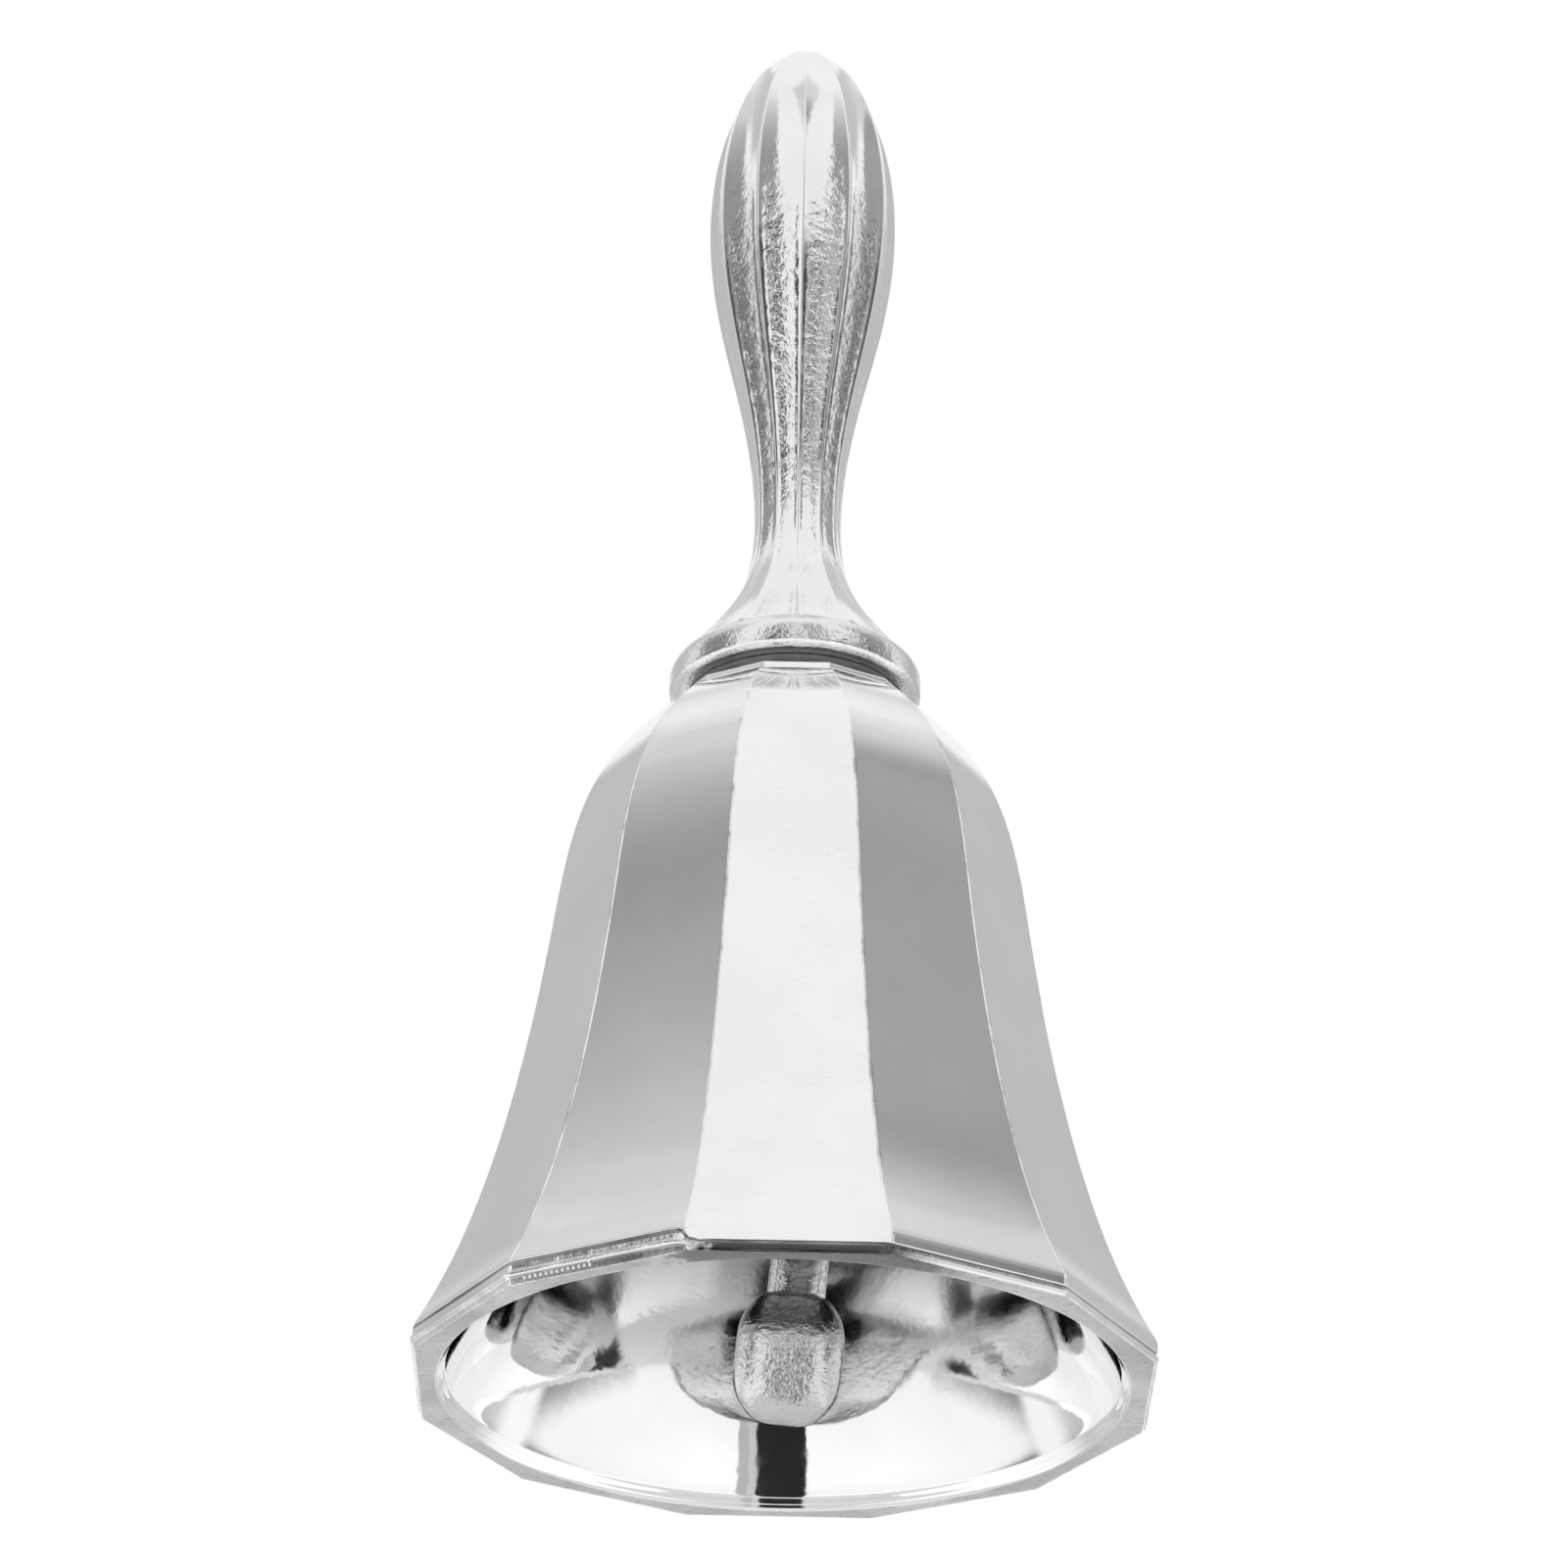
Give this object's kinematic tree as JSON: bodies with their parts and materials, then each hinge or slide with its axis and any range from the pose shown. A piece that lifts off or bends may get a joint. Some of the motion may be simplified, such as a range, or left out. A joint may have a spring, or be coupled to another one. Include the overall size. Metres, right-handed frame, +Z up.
{
  "type": "hand bell",
  "caption": "Silver-plated hand bell with flat panels, a fluted handle on a round collar and a hanging block clapper.",
  "frame": {"origin": "centre of the mouth, on the plane that the bell stands on", "axes": "+Z up along the bell's axis to the tip of the handle, -Y out of the panel that faces the viewer, +X to the viewer's right"},
  "size_m": [0.0606, 0.0606, 0.1304],
  "materials": {
    "bell_silver": "polished silver plate over a cast body, with faint ripples and fine scratches",
    "handle_silver": "polished silver plate, grained and pitted near the collar",
    "ring_metal": "dull turned metal, darkened",
    "hanger_steel": "plain steel hardware",
    "clapper_metal": "plated casting, pitted in the middle of its faces"
  },
  "bodies": {
    "bell": {"bell_shell": "bell_silver", "handle": "handle_silver", "neck_ring": "ring_metal", "hanger_stud": "hanger_steel", "crown_washer": "hanger_steel", "crown_nut": "hanger_steel"},
    "link": {"clapper_link": "hanger_steel"},
    "clapper": {"clapper_tongue": "clapper_metal", "clapper_head": "clapper_metal"}
  },
  "joints": [
    {"name": "link_swing", "type": "hinge", "parent": "bell", "child": "link", "pos_m": [0, 0, 0.0532], "axis": [1, 0, 0], "range_deg": [-46.8, 0]},
    {"name": "clapper_sway", "type": "hinge", "parent": "link", "child": "clapper", "pos_m": [0.00145, 0.01496, 0.01863], "axis": [0, 0.9178, 0.3971], "range_deg": [-15, 12.5]}
  ]
}
